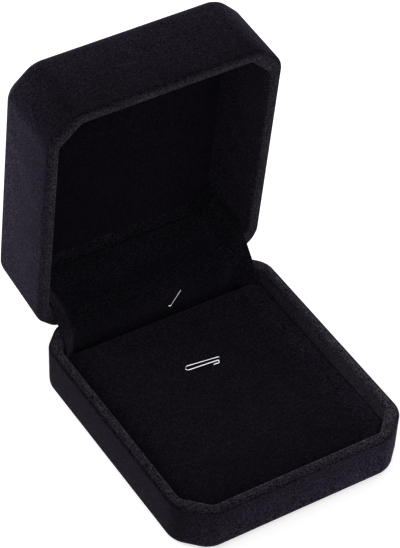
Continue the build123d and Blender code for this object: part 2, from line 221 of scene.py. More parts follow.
def deselect_all():
    """Leaves nothing selected, in object mode."""
    if bpy.context.mode != "OBJECT":
        bpy.ops.object.mode_set(mode="OBJECT")
    bpy.ops.object.select_all(action="DESELECT")


def make_active(obj):
    """Selects one object alone."""
    deselect_all()
    obj.select_set(True)
    bpy.context.view_layer.objects.active = obj


def edit(obj):
    """Enters edit mode on one object."""
    make_active(obj)
    bpy.ops.object.mode_set(mode="EDIT")


def new_piece(name):
    """Names the primitive that was just added, and puts its size and place in its mesh."""
    obj = bpy.context.object
    obj.name = obj.data.name = name
    bpy.ops.object.transform_apply(location=True, rotation=True, scale=True)
    return obj


def pick(obj, kind, test):
    """Selects the elements of one kind (VERT, EDGE or FACE) that pass the test, in edit mode."""
    bpy.ops.mesh.select_mode(type=kind)
    bpy.ops.mesh.select_all(action="DESELECT")
    mesh = bmesh.from_edit_mesh(obj.data)
    elements = {"VERT": mesh.verts, "EDGE": mesh.edges, "FACE": mesh.faces}[kind]
    chosen = [element for element in elements if test(element)]
    if not chosen:
        raise RuntimeError(f"{obj.name}: no {kind.lower()} was found to select")
    for element in chosen:
        element.select_set(True)
    mesh.select_flush_mode()
    bmesh.update_edit_mesh(obj.data)


def is_upright(edge):
    """Whether an edge of a block runs from its near to its far face."""
    low, high = edge.verts
    return abs(low.co.z - high.co.z) > UPRIGHT and (low.co.xy - high.co.xy).length < UPRIGHT


def is_at(vertex, z):
    """Whether a vertex lies at a height."""
    return abs(vertex.co.z - z) < SAME_HEIGHT


def lies_at(element, z):
    """Whether all of an edge or a face lies at a height."""
    return all(is_at(vertex, z) for vertex in element.verts)


def is_end(face, z):
    """Whether a face is the whole end of a block at a height, and not part of a ring round it."""
    return lies_at(face, z) and len(face.verts) > RING_SIDES


def within(plan, vertex):
    """Whether a vertex lies inside an octagonal plan or on its outline."""
    half_width, half_depth, cut = plan[:3]
    x, y = abs(vertex.co.x), abs(vertex.co.y)
    in_corner = x + y <= half_width + half_depth - cut + PLAN_MARGIN * math.sqrt(2)
    return x <= half_width + PLAN_MARGIN and y <= half_depth + PLAN_MARGIN and in_corner


def outer_plan(rear_cut):
    """Half width, half depth, front and rear corner cut and blend of the box's outside."""
    s = sizes()
    return s.width / 2, s.depth / 2, s.corner_cut, rear_cut, s.corner_blend


def inner_plan(wall, inset=0.0):
    """The same for the lining's face, where the wall has this thickness."""
    s = sizes()
    cut = s.lining_cut - inset * INSET_TO_CUT
    return (s.width / 2 - wall - inset, s.depth / 2 - wall - inset, cut, cut,
            s.lining_blend - inset)


def bevel(offset, segments):
    """Bevels the selected edges."""
    bpy.ops.mesh.bevel(offset=offset, offset_type="OFFSET", segments=segments, affect="EDGES")


def clipped_block(name, plan, near, far, rear=1):
    """Block with clipped and blended corners, tapered away from the rim's plane.

    The rear corners lie at positive Y, or at negative Y where rear is -1.
    """
    half_width, half_depth, front_cut, rear_cut, blend = plan
    deselect_all()
    bpy.ops.mesh.primitive_cube_add(size=1, location=(0, 0, (near + far) / 2),
                                    scale=(2 * half_width, 2 * half_depth, far - near))
    obj = new_piece(name)
    edit(obj)
    for side, cut in ((-rear, front_cut), (rear, rear_cut)):
        corner = side * half_depth
        pick(obj, "EDGE", lambda edge: is_upright(edge)
             and abs(edge.verts[0].co.y - corner) < AT_CORNER)
        bevel(cut, 1)
    pick(obj, "EDGE", is_upright)
    bevel(blend * HALF_DIAGONAL, CORNER_SEGMENTS)
    for z in (near, far):
        shrink = SLOPE * z
        pick(obj, "VERT", lambda vertex: is_at(vertex, z))
        factors = ((half_width - shrink) / half_width, (half_depth - shrink) / half_depth, 1)
        bpy.ops.transform.resize(value=factors, center_override=(0, 0, z))
    return obj


def round_ring(obj, z, radius, segments):
    """Bevels the edges round a block's face at a height."""
    pick(obj, "FACE", lambda face: lies_at(face, z))
    bpy.ops.mesh.region_to_loop()
    bevel(radius, segments)


def delete_faces(obj, test):
    """Deletes the faces that pass the test."""
    pick(obj, "FACE", test)
    bpy.ops.mesh.delete(type="FACE")


def apply_modifier(obj, kind, **values):
    """Adds a modifier with these values and applies it."""
    make_active(obj)
    modifier = obj.modifiers.new(kind.title(), kind)
    for key, value in values.items():
        setattr(modifier, key, value)
    bpy.ops.object.modifier_apply(modifier=modifier.name)


def thicken(obj):
    """Gives a skin the cloth's thickness, inwards."""
    apply_modifier(obj, "SOLIDIFY", thickness=sizes().cloth, offset=-1.0)


def smooth(obj, angle=45):
    """Shades smooth except at corners."""
    make_active(obj)
    bpy.ops.object.shade_smooth_by_angle(angle=math.radians(angle))


def cut_for_barrel(obj):
    """Leaves room for the hinge's barrel."""
    room, front, back = 0.3 * MM, 2.0 * MM, 3.0 * MM
    low_pin, high_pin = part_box("hinge_pin")
    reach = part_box("hinge_base_leaf")[1].z - HINGE.z + room
    low = (low_pin.x - room, HINGE.y - front, HINGE.z - reach)
    high = (high_pin.x + room, HINGE.y + back, HINGE.z + reach)
    deselect_all()
    bpy.ops.mesh.primitive_cube_add(size=1, location=[(a + b) / 2 for a, b in zip(low, high)],
                                    scale=[b - a for a, b in zip(low, high)])
    cutter = bpy.context.object
    apply_modifier(obj, "BOOLEAN", operation="DIFFERENCE", object=cutter, solver="EXACT")
    bpy.data.objects.remove(cutter)


def place(obj, matrix):
    """Moves an object by a matrix and puts the place in its mesh."""
    make_active(obj)
    obj.matrix_world = matrix @ obj.matrix_world
    bpy.ops.object.transform_apply(location=True, rotation=True, scale=True)


def on_base():
    """Matrix that turns a piece rim up and puts it on the base."""
    return Matrix.Translation((0, 0, BASE_RIM)) @ Matrix.Rotation(math.pi, 4, "X")


def on_shut_lid():
    """Matrix that puts a piece on the shut lid."""
    s = sizes()
    return Matrix.Translation((s.lid_shift, s.lid_back, BASE_RIM + s.rim_gap))


def lid_opened():
    """Matrix that turns the shut lid to its open stop."""
    there = Matrix.Translation(HINGE)
    return there @ Matrix.Rotation(-OPEN_ANGLE, 4, "X") @ there.inverted()


# Painted light and shade: how far each spot takes the lit colour, at a spot on a piece before it
# is placed


def set_painted_light(obj, painted_light, matrix=Matrix()):
    """Stores the painted light and shade at each vertex, by the spot before the matrix."""
    values = obj.data.attributes.new("painted_light", "FLOAT", "POINT")
    back = matrix.inverted()
    for vertex in obj.data.vertices:
        values.data[vertex.index].value = painted_light(back @ vertex.co)


def ramp(value, start, stop):
    """Rises from 0 to 1 between two values."""
    return min(1.0, max(0.0, (value - start) / (stop - start)))


def lid_wrap_painted_light(spot):
    """The lid's outer velvet has painted shade by the seam that lightens up the wall, more on the
    front wall, and painted light in the seam.
    """
    lowest_wall_light, less_in_front = 0.38, 0.24
    in_seam, more_on_left = 0.6, 0.7
    front = ramp(-spot.y, *OUTER_FRONT)
    left = ramp(-spot.x, *OUTER_SIDE)
    up_wall = ramp(spot.z, 0.0, 18 * MM)
    past_seam = ramp(spot.z, 0.4 * MM, 1.2 * MM)
    # Painted shade that lightens away from the seam, darker on the front wall, which faces up when
    # the lid stands open
    field = (lowest_wall_light + (1 - lowest_wall_light) * up_wall) * (1 - less_in_front * front)
    # Painted light in the seam, where shade falls, more on the left
    return field + (in_seam + more_on_left * left) * (1 - past_seam)


def base_wrap_painted_light(spot):
    """The base's outer velvet is painted lighter away from the rim and towards the right, with
    painted light in the seam; the left wall is darkest.
    """
    wall_light, more_below, more_on_right = 0.85, 0.2, 0.6
    in_seam, less_on_left = 0.8, 0.4
    below = ramp(spot.z, 0.0, 16 * MM)
    left = ramp(-spot.x, *OUTER_SIDE)
    right = ramp(spot.x, 6 * MM, 34 * MM)
    past_seam = ramp(spot.z, 0.5 * MM, 1.05 * MM)
    # Painted light rising away from the rim and towards the right; the left wall keeps the darker
    # colour
    field = (1 - left) * (wall_light + more_below * below + more_on_right * right)
    # Painted light in the seam, where shade falls, less on the left
    return field + (in_seam - less_on_left * left) * (1 - past_seam)


def rim_painted_light(spot):
    """The rolled rim has a painted highlight on top, which fades into painted shade down both its
    sides.
    """
    on_top, fade = 0.57, 1.5 * MM
    # Painted highlight on the rim, fading into painted shade with depth
    return on_top * math.exp(-max(0.0, spot.z) / fade)


def base_lining_painted_light(spot):
    """The same in the base, with painted light on the inner right wall and on the rim towards the
    right and the front.
    """
    least_light, wall_right = 0.17, 0.43
    least_rim_right, more_in_front = 0.5, 0.5
    rim_towards_right = 0.45
    right = ramp(spot.x, *INNER_WALL)
    front = ramp(spot.y, -35 * MM, 35 * MM)
    # Painted light on the rim and the inner right wall; the other walls keep the painted shade
    rim_side = max(right * (least_rim_right + more_in_front * front),
                   rim_towards_right * ramp(spot.x, 0.0, 30 * MM))
    return max(rim_painted_light(spot) * (1 + rim_side), least_light + wall_right * right)


def lid_lining_painted_light(spot):
    """The same in the lid, with painted light lifting the shaded rear wall by the hinge and the
    right wall.
    """
    rim = 0.92
    by_hinge, more_inside = 0.3, 0.2
    on_right, more_at_rear = 0.14, 0.22
    inside = ramp(spot.z, 12 * MM, 20 * MM)
    rearward = ramp(spot.y, -5 * MM, 35 * MM)
    rear = ramp(spot.y, *INNER_WALL) * (by_hinge + more_inside * inside)
    right = ramp(spot.x, 33 * MM, 35 * MM) * (on_right + more_at_rear * rearward)
    # Painted light on the rear wall, more deep in the lid, and on the right wall, more towards the
    # rear
    return max(rim * rim_painted_light(spot), rear, right)


def panel_painted_light(spot):
    """The panel keeps the darker colour, with a little painted light towards its right edge."""
    at_right_edge = 0.04
    return at_right_edge * ramp(spot.x, 25 * MM, 35 * MM)


def strip_painted_light(spot):
    """The strip keeps near the darker colour, with a little painted light in the corners and up in
    the lid.
    """
    least_light, more_in_corners, more_in_lid = 0.14, 0.12, 0.15
    corner = ramp(abs(spot.x), 22 * MM, 32 * MM)
    # Painted light in the corners and up in the lid
    return least_light + more_in_corners * corner + more_in_lid * ramp(spot.y, 48 * MM, 54 * MM)


def pad_painted_light(spot):
    """The pad has painted shadow towards its left and its front, and painted light along its right
    and rear edges.
    """
    full, at_left, at_front = 0.29, 0.6, 0.3
    right_edge, more_at_front, rear_edge = 0.42, 0.25, 0.1
    half = sizes().width / 2
    rightward = at_left + (1 - at_left) * ramp(spot.x, -half, half)
    rearward = at_front + (1 - at_front) * ramp(spot.y, -42 * MM, -20 * MM)
    frontward = ramp(-spot.y, 8 * MM, 32 * MM)
    right = ramp(spot.x, 26 * MM, 35 * MM) * (right_edge + more_at_front * frontward)
    # Painted shadow at the left and the front, painted light on the right edge, more at the front,
    # and a painted highlight on the rear edge
    return full * rightward * rearward + right + rear_edge * ramp(spot.y, 29 * MM, 36 * MM)


# Finishes


def new_material(name):
    """Material with its nodes, links and shader, and the piece's own coordinates."""
    material = bpy.data.materials.new(name)
    material.use_nodes = True
    nodes = material.node_tree.nodes
    coordinates = nodes.new("ShaderNodeTexCoord").outputs["Object"]
    return material, nodes, material.node_tree.links, nodes["Principled BSDF"], coordinates


def add_noise(nodes, links, coordinates, scale, detail, roughness=0.5):
    """Noise on the piece's own coordinates."""
    noise = nodes.new("ShaderNodeTexNoise")
    noise.inputs["Scale"].default_value = scale
    noise.inputs["Detail"].default_value = detail
    noise.inputs["Roughness"].default_value = roughness
    links.new(coordinates, noise.inputs["Vector"])
    return noise.outputs["Fac"]


def spread(nodes, links, value, source, target):
    """Maps a value from one range to another."""
    node = nodes.new("ShaderNodeMapRange")
    for key, number in zip(("From Min", "From Max", "To Min", "To Max"), (*source, *target)):
        node.inputs[key].default_value = number
    links.new(value, node.inputs["Value"])
    return node.outputs["Result"]


def combined(nodes, links, operation, *values):
    """Product of several values, or what another operation makes of them."""
    result = values[0]
    for value in values[1:]:
        node = nodes.new("ShaderNodeMath")
        node.operation = operation
        links.new(result, node.inputs[0])
        links.new(value, node.inputs[1])
        result = node.outputs[0]
    return result


def tinted(nodes, links, tint, factor):
    """Colour, or another node's colour, scaled by a value."""
    node = nodes.new("ShaderNodeVectorMath")
    node.operation = "SCALE"
    if isinstance(tint, bpy.types.NodeSocket):
        links.new(tint, node.inputs[0])
    else:
        node.inputs[0].default_value = tint
    links.new(factor, node.inputs["Scale"])
    return node.outputs["Vector"]


def raised(nodes, links, height, strength, distance, normal=None):
    """Normal bumped by a height."""
    bump = nodes.new("ShaderNodeBump")
    bump.inputs["Strength"].default_value = strength
    bump.inputs["Distance"].default_value = distance
    links.new(height, bump.inputs["Height"])
    if normal:
        links.new(normal, bump.inputs["Normal"])
    return bump.outputs["Normal"]


def mixed(nodes, links, factor, low, high):
    """Colour between two by a factor, or past the second where the factor is over 1."""
    node = nodes.new("ShaderNodeMix")
    node.data_type = "RGBA"
    node.clamp_factor = False
    links.new(factor, node.inputs["Factor"])
    first, second = [socket for socket in node.inputs if socket.type == "RGBA"]
    first.default_value = (*low, 1)
    second.default_value = (*high, 1)
    return next(socket for socket in node.outputs if socket.type == "RGBA")


def velvet(name, lit_pile, shade, painted_sheen_gain):
    """Short pile: a grain of fibre tips and patches where it leans, on a colour painted between a
    shaded and a lit copy, and a painted sheen at a glance.
    """
    material, nodes, links, shader, coordinates = new_material(name)
    tips = add_noise(nodes, links, coordinates, scale=2900, detail=1, roughness=0.6)
    lean = add_noise(nodes, links, coordinates, scale=900, detail=2)
    drift = add_noise(nodes, links, coordinates, scale=110, detail=2)
    tip_range, tip_tone = (0.41, 0.59), (0.0, 2.0)
    lean_tone, drift_tone = (0.65, 1.35), (0.86, 1.14)
    # Painted sheen: the colour is brightened where the surface is seen at a glance, by the gain
    # that each velvet is given, and no more past this facing
    full_painted_sheen = 0.42
    # The attribute that paints light and shade on each piece
    painted_light = nodes.new("ShaderNodeAttribute")
    painted_light.attribute_name = "painted_light"
    weight = nodes.new("ShaderNodeLayerWeight")
    weight.inputs["Blend"].default_value = 0.5
    facing = weight.outputs["Facing"]
    squared = combined(nodes, links, "MULTIPLY", facing, facing)
    painted_sheen = spread(nodes, links, squared, (0.0, full_painted_sheen), (1.0, 1.0 + full_painted_sheen * painted_sheen_gain))
    factor = combined(nodes, links, "MULTIPLY",
                      spread(nodes, links, tips, tip_range, tip_tone),
                      spread(nodes, links, lean, NOISE_RANGE, lean_tone),
                      spread(nodes, links, drift, NOISE_RANGE, drift_tone),
                      painted_sheen)
    # Painted light and shade: the colour runs from the shaded copy to the lit copy by the
    # attribute
    tint = mixed(nodes, links, painted_light.outputs["Fac"], shade, lit_pile)
    links.new(tinted(nodes, links, tint, factor), shader.inputs["Base Color"])
    fibres = raised(nodes, links, tips, strength=0.5, distance=0.06 * MM)
    leaning = raised(nodes, links, lean, strength=0.3, distance=0.12 * MM, normal=fibres)
    drifting = raised(nodes, links, drift, strength=0.35, distance=0.5 * MM, normal=leaning)
    links.new(drifting, shader.inputs["Normal"])
    shader.inputs["Roughness"].default_value = 1.0
    shader.inputs["Specular IOR Level"].default_value = 0.03
    shader.inputs["Sheen Weight"].default_value = 0.03
    shader.inputs["Sheen Roughness"].default_value = 0.55
    shader.inputs["Sheen Tint"].default_value = (*colours().sheen, 1)
    return material


def metal(name, tint, roughness, scale):
    """Plated steel with fine drawing marks, which are a little darker and vary the gloss."""
    material, nodes, links, shader, coordinates = new_material(name)
    marks = add_noise(nodes, links, coordinates, scale, detail=3)
    worn = spread(nodes, links, marks, NOISE_RANGE, (0.7 * roughness, 1.3 * roughness))
    tone = spread(nodes, links, marks, NOISE_RANGE, (0.88, 1.0))
    scratched = raised(nodes, links, marks, strength=0.15, distance=0.02 * MM)
    links.new(worn, shader.inputs["Roughness"])
    links.new(tinted(nodes, links, tint, tone), shader.inputs["Base Color"])
    links.new(scratched, shader.inputs["Normal"])
    shader.inputs["Metallic"].default_value = 1.0
    return material


def grained(name, tint, roughness, scale, depth, contrast=0.25):
    """Matt material with a grain: card, paper, moulded plastic or foam."""
    material, nodes, links, shader, coordinates = new_material(name)
    grain = add_noise(nodes, links, coordinates, scale, detail=4, roughness=0.6)
    tone = spread(nodes, links, grain, NOISE_RANGE, (1 - contrast, 1 + contrast))
    links.new(tinted(nodes, links, tint, tone), shader.inputs["Base Color"])
    bumped = raised(nodes, links, grain, strength=0.5, distance=depth)
    links.new(bumped, shader.inputs["Normal"])
    shader.inputs["Roughness"].default_value = roughness
    return material


def dress(obj, material):
    """Gives an object one material."""
    obj.data.materials.clear()
    obj.data.materials.append(material)


def finish_piece(obj, material, body, node):
    """Gives a piece its material and slot and the body that it rides, and hides the solid that it
    stands for.
    """
    dress(obj, material)
    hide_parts(node)
    if body:
        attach(obj, body)


def finish_on_base(skin, painted_light, material, node):
    """Puts a skin of velvet on the base and finishes it."""
    place(skin, on_base())
    thicken(skin)
    cut_for_barrel(skin)
    smooth(skin)
    set_painted_light(skin, painted_light, on_base())
    finish_piece(skin, material, "base", node)


def finish_in_lid(skin, painted_light, material, node):
    """The same on the lid, which is then opened."""
    place(skin, on_shut_lid())
    thicken(skin)
    cut_for_barrel(skin)
    place(skin, lid_opened())
    smooth(skin)
    set_painted_light(skin, painted_light, lid_opened() @ on_shut_lid())
    finish_piece(skin, material, "lid", node)


# Velvet pieces


def make_wrap(name, height, edge_radius, lip, turn, rear_cut, rear):
    """Outer velvet, from the seam under the rim to the far face, rim down."""
    s = sizes()
    near = lip + s.seam
    wrap = clipped_block(name, outer_plan(rear_cut), near, height, rear)
    round_ring(wrap, height, edge_radius, ROLL_SEGMENTS)
    round_ring(wrap, near, turn, TURN_SEGMENTS)
    pick(wrap, "FACE", lambda face: lies_at(face, near))
    bpy.ops.mesh.inset(thickness=s.seam_tuck)
    delete_faces(wrap, lambda face: is_end(face, near))
    return wrap


class PENDANTBOX_OT_wraps(bpy.types.Operator):
    """Models the velvet round the outside of the base and of the lid"""

    bl_idname = "pendantbox.wraps"
    bl_label = "Outer Velvet"

    def execute(self, context):
        s = sizes()
        c = colours()
        material = velvet("wrap_velvet", c.wrap, c.wrap_shade, painted_sheen_gain=6.0)

        base = make_wrap("base_velvet", s.base_height, s.base_edge, s.base_lip, s.base_turn,
                         s.base_rear_cut, -1)
        sheet_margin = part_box("base_cover")[1].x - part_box("base_bottom_sheet")[1].x
        pick(base, "FACE", lambda face: lies_at(face, s.base_height))
        bpy.ops.mesh.inset(thickness=sheet_margin - s.base_edge - SLOPE * s.base_height)
        delete_faces(base, lambda face: is_end(face, s.base_height))
        finish_on_base(base, base_wrap_painted_light, material, "base_cover")

        lid = make_wrap("lid_velvet", s.lid_height, s.lid_edge, s.lid_lip, s.lid_turn,
                        s.lid_rear_cut, 1)
        finish_in_lid(lid, lid_wrap_painted_light, material, "lid_cover")
        return {"FINISHED"}


def make_lip(name, reach, rear_cut, rear):
    """Outer half of a rolled rim, open at the rim's plane and where it reaches down outside."""
    s = sizes()
    below_roll = s.rim_roll + 0.1 * MM
    lip = clipped_block(name, outer_plan(rear_cut), 0, below_roll, rear)
    round_ring(lip, 0, s.rim_roll, ROLL_SEGMENTS)
    delete_faces(lip, lambda face: lies_at(face, below_roll))
    bpy.ops.mesh.select_all(action="SELECT")
    bpy.ops.mesh.bisect(plane_co=(0, 0, reach), plane_no=(0, 0, 1), clear_outer=True,
                        threshold=CUT_THRESHOLD)
    delete_faces(lip, lambda face: is_end(face, 0))
    return lip


def make_lining(name, inside, plan, reach, rear_cut, rear):
    """Velvet lining of a wall with its rolled rim, which reaches down outside, rim down."""
    step = sizes().rim_inner_roll
    lining = make_lip(name, reach, rear_cut, rear)
    walls = clipped_block(name + "_walls", plan, step, inside)
    delete_faces(walls, lambda face: lies_at(face, step) or lies_at(face, inside))
    make_active(lining)
    walls.select_set(True)
    bpy.ops.object.join()

    # The walls are bridged to the lip, moved up to the rim's plane and rolled there
    edit(lining)
    pick(lining, "EDGE", lambda edge: edge.is_boundary
         and (lies_at(edge, 0) or lies_at(edge, step)))
    bpy.ops.mesh.bridge_edge_loops()
    pick(lining, "VERT", lambda vertex: is_at(vertex, step) and within(plan, vertex))
    bpy.ops.transform.translate(value=(0, 0, -step))
    pick(lining, "EDGE", lambda edge: lies_at(edge, 0)
         and all(within(plan, vertex) for vertex in edge.verts))
    bevel(step, TURN_SEGMENTS)
    bpy.ops.mesh.select_all(action="SELECT")
    bpy.ops.mesh.normals_make_consistent(inside=False)
    rim = [face for face in bmesh.from_edit_mesh(lining.data).faces if lies_at(face, 0)]
    if sum(face.normal.z for face in rim) > 0:
        bpy.ops.mesh.flip_normals()
    return lining


class PENDANTBOX_OT_linings(bpy.types.Operator):
    """Models the velvet linings with their rolled rims, and the panel in the lid"""

    bl_idname = "pendantbox.linings"
    bl_label = "Linings"

    def execute(self, context):
        s = sizes()
        c = colours()
        material = velvet("lining_velvet", c.lining, c.lining_shade, painted_sheen_gain=4.0)
        base_inside = BASE_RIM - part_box("pad_platform")[0].z
        base = make_lining("base_lining_velvet", base_inside, inner_plan(s.base_wall), s.base_lip,
                           s.base_rear_cut, -1)
        finish_on_base(base, base_lining_painted_light, material, "base_lining")

        lid_inside = s.lid_height - s.lid_floor
        lid = make_lining("lid_lining_velvet", lid_inside, inner_plan(s.lid_wall), s.lid_lip,
                          s.lid_rear_cut, 1)
        finish_in_lid(lid, lid_lining_painted_light, material, "lid_lining")

        low = lid_inside - s.panel_depth
        panel = clipped_block("lid_panel", inner_plan(s.lid_wall, s.panel_gap), low,
                              low + s.cloth)
        round_ring(panel, low, s.panel_edge, PANEL_SEGMENTS)
        in_lid = lid_opened() @ on_shut_lid()
        place(panel, in_lid)
        smooth(panel)
        set_painted_light(panel, panel_painted_light, in_lid)
        finish_piece(panel, material, "lid", "lid_panel_velvet")
        return {"FINISHED"}


# Pad


def cut_into_grid(height_span, step):
    """Cuts the piece in edit mode into a grid, so that it can swell."""
    s = sizes()
    spans = ((-s.width / 2, s.width / 2), (-s.depth / 2, s.depth / 2), height_span)
    for axis, (start, stop) in enumerate(spans):
        count = int((stop - start) / step)
        normal = Vector((0, 0, 0))
        normal[axis] = 1
        for index in range(1, count):
            point = normal * (start + index * (stop - start) / count)
            bpy.ops.mesh.select_all(action="SELECT")
            bpy.ops.mesh.bisect(plane_co=point, plane_no=normal, threshold=CUT_THRESHOLD)


def make_layer(name, node, edge_radius, rear_radius, room, rear_room):
    """One layer of the pad round its solid: front corners clipped, rear ones round."""
    s = sizes()
    front_blend, grid_step = 1.5 * MM, 2.5 * MM
    low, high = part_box(node)
    low += Vector((-room, -room, 0))
    high += Vector((room, rear_room, 0))
    inset = s.width / 2 - s.base_wall - high.x
    deselect_all()
    bpy.ops.mesh.primitive_cube_add(size=1, location=(low + high) / 2, scale=high - low)
    layer = new_piece(name)
    edit(layer)
    pick(layer, "EDGE", lambda edge: is_upright(edge) and edge.verts[0].co.y > 0)
    bevel(rear_radius, PAD_REAR_SEGMENTS)
    pick(layer, "EDGE", lambda edge: is_upright(edge)
         and edge.verts[0].co.y < low.y + AT_CORNER)
    bevel(s.lining_cut - inset * INSET_TO_CUT, 1)
    pick(layer, "EDGE", lambda edge: is_upright(edge) and edge.verts[0].co.y < 0)
    bevel(front_blend * HALF_DIAGONAL, PAD_FRONT_SEGMENTS)
    round_ring(layer, high.z, edge_radius, PAD_EDGE_SEGMENTS)
    cut_into_grid((low.z, high.z), grid_step)
    bpy.ops.object.mode_set(mode="OBJECT")
    return layer


def swell(obj, held, most):
    """Blows a piece up with the cloth solver from where it isn't held, by at most a distance."""
    rest = [vertex.co.copy() for vertex in obj.data.vertices]
    group = obj.vertex_groups.new(name="held")
    group.add([index for index, co in enumerate(rest) if held(co)], 1.0, "REPLACE")
    for vertex in obj.data.vertices:
        vertex.co *= CLOTH_SCALE
    modifier = obj.modifiers.new("Cloth", "CLOTH")
    modifier.settings.vertex_group_mass = group.name
    modifier.settings.use_pressure = True
    modifier.settings.uniform_pressure_force = CLOTH_PRESSURE
    modifier.settings.effector_weights.gravity = 0.0
    for step in range(1, CLOTH_FRAMES + 1):
        bpy.context.scene.frame_set(step)
    make_active(obj)
    bpy.ops.object.modifier_apply(modifier=modifier.name)
    bpy.context.scene.frame_set(1)
    obj.vertex_groups.clear()
    for vertex, start in zip(obj.data.vertices, rest):
        move = vertex.co / CLOTH_SCALE - start
        vertex.co = start + move * most / (most + move.length)


class PENDANTBOX_OT_pad(bpy.types.Operator):
    """Models the pad's velvet and foam"""

    bl_idname = "pendantbox.pad"
    bl_label = "Pad"

    def execute(self, context):
        s = sizes()
        c = colours()
        gap, rear_room = 0.15 * MM, 1.0 * MM
        free_depth, crown = 1.0 * MM, 0.35 * MM
        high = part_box("pad_cover")[1]
        room = s.width / 2 - s.base_wall - high.x - gap
        cover = make_layer("pad_velvet", "pad_cover", edge_radius=0.8 * MM, rear_radius=4.2 * MM,
                           room=room, rear_room=rear_room)
        swell(cover, lambda co: co.z < high.z - free_depth, crown)
        smooth(cover)
        set_painted_light(cover, pad_painted_light)
        material = velvet("pad_velvet", c.pad, c.pad_shade, painted_sheen_gain=3.0)
        finish_piece(cover, material, "insert", "pad_cover")

        foam = make_layer("pad_foam_layer", "pad_foam", edge_radius=0.6 * MM,
                          rear_radius=3.65 * MM, room=0.0, rear_room=0.0)
        smooth(foam)
        material = grained("pad_foam", c.foam, roughness=0.95, scale=1500, depth=0.2 * MM)
        finish_piece(foam, material, "insert", "pad_foam")
        return {"FINISHED"}


# Strip over the hinge


def strip_corner():
    """Half width of the back wall, up to where the lining's clipped corners begin."""
    s = sizes()
    return s.width / 2 - s.base_wall - s.lining_cut


def strip_line(x, scale):
    """Centre line of the strip at one place across it, from the base's floor up into the lid.

    In the corners the lining comes forward at 45 degrees, and the gap is scaled to match.
    """
    s = sizes()
    opened = lid_opened()
    roll = s.rim_inner_roll
    bulge = 0.25 * roll
    gap = s.cloth + 0.03 * MM
    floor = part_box("hinge_cover")[0].z
    wall_top = BASE_RIM - roll
    lid_rim = BASE_RIM + s.rim_gap
    front = s.depth / 2 - s.base_wall - max(0.0, abs(x) - strip_corner()) - gap * scale
    lid_front = front - (s.lid_wall - s.base_wall)

    points = []
    for row in range(STRIP_BASE_ROWS):
        z = floor + (wall_top - floor) * row / STRIP_BASE_ROWS
        points.append(Vector((x, front - SLOPE * (BASE_RIM - z), z)))

    base_edge = Vector((x, front, wall_top))
    lid_edge = opened @ Vector((x, lid_front, lid_rim + roll))
    base_lift = base_edge + Vector((0, bulge, roll))
    lid_lift = lid_edge + opened.to_3x3() @ Vector((0, bulge, -roll))
    for row in range(STRIP_HINGE_ROWS):
        share = row / STRIP_HINGE_ROWS
        first = base_edge.lerp(base_lift, share)
        middle = base_lift.lerp(lid_lift, share)
        last = lid_lift.lerp(lid_edge, share)
        points.append(first.lerp(middle, share).lerp(middle.lerp(last, share), share))

    for row in range(STRIP_LID_ROWS + 1):
        z = roll + (s.strip_in_lid - roll) * row / STRIP_LID_ROWS
        points.append(opened @ Vector((x, lid_front - SLOPE * z, lid_rim + z)))
    return points


class PENDANTBOX_OT_hinge_cloth(bpy.types.Operator):
    """Models the cloth strip that runs from the base over the hinge into the lid"""

    bl_idname = "pendantbox.hinge_cloth"
    bl_label = "Hinge Cloth"

    def execute(self, context):
        c = colours()
        slant = math.sqrt(2)
        corner = strip_corner()
        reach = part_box("hinge_cover")[1].x + 0.35 * MM
        straight = [(corner * index / STRIP_COLUMNS, 1.0)
                    for index in range(-STRIP_COLUMNS, STRIP_COLUMNS + 1)]
        ends = [(corner + (reach - corner) * index / STRIP_CORNER_COLUMNS, slant)
                for index in range(1, STRIP_CORNER_COLUMNS + 1)]
        columns = [(-x, scale) for x, scale in reversed(ends)] + straight + ends
        lines = [strip_line(x, scale) for x, scale in columns]

        count = len(lines[0])
        faces = [(start + row, start + row + 1, start + count + row + 1, start + count + row)
                 for start in range(0, (len(lines) - 1) * count, count)
                 for row in range(count - 1)]
        mesh = bpy.data.meshes.new("hinge_cloth")
        mesh.from_pydata([point for line in lines for point in line], [], faces)
        cloth = bpy.data.objects.new("hinge_cloth", mesh)
        context.scene.collection.objects.link(cloth)
        thicken(cloth)
        smooth(cloth, angle=60)
        set_painted_light(cloth, strip_painted_light)
        material = velvet("strip_velvet", c.lining, c.lining_shade, painted_sheen_gain=2.0)
        finish_piece(cloth, material, None, "hinge_cover")

        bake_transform(cloth)
        return {"FINISHED"}


# Wires


def lead_wire(wire, points, bends):
    """Extrudes a wire's selected end along straight runs and spins it round the bends."""
    astray = 0.01 * MM
    ways = [(b - a).normalized() for a, b in zip(points, points[1:])]
    here = points[0]
    for way, after, corner, bend in zip(ways, ways[1:], points[1:], bends):
        turn = way.angle(after)
        trim = bend * math.tan(turn / 2)
        start = corner - way * trim
        bpy.ops.mesh.extrude_region_move(TRANSFORM_OT_translate={"value": start - here})
        axis = way.cross(after).normalized()
        centre = start + axis.cross(way) * bend
        bpy.ops.mesh.spin(steps=BEND_STEPS, angle=-turn, center=centre, axis=axis)
        here = corner + after * trim
        chosen = [vertex.co for vertex in bmesh.from_edit_mesh(wire.data).verts if vertex.select]
        if (sum(chosen, Vector()) / len(chosen) - here).length > astray:
            raise RuntimeError(f"{wire.name}: the bend at {tuple(corner)} went astray")
    bpy.ops.mesh.extrude_region_move(TRANSFORM_OT_translate={"value": points[-1] - here})


def close_wire(wire):
    """Turns a led wire's faces outwards and shades them smooth."""
    bpy.ops.mesh.select_all(action="SELECT")
    bpy.ops.mesh.normals_make_consistent(inside=False)
    smooth(wire, angle=40)


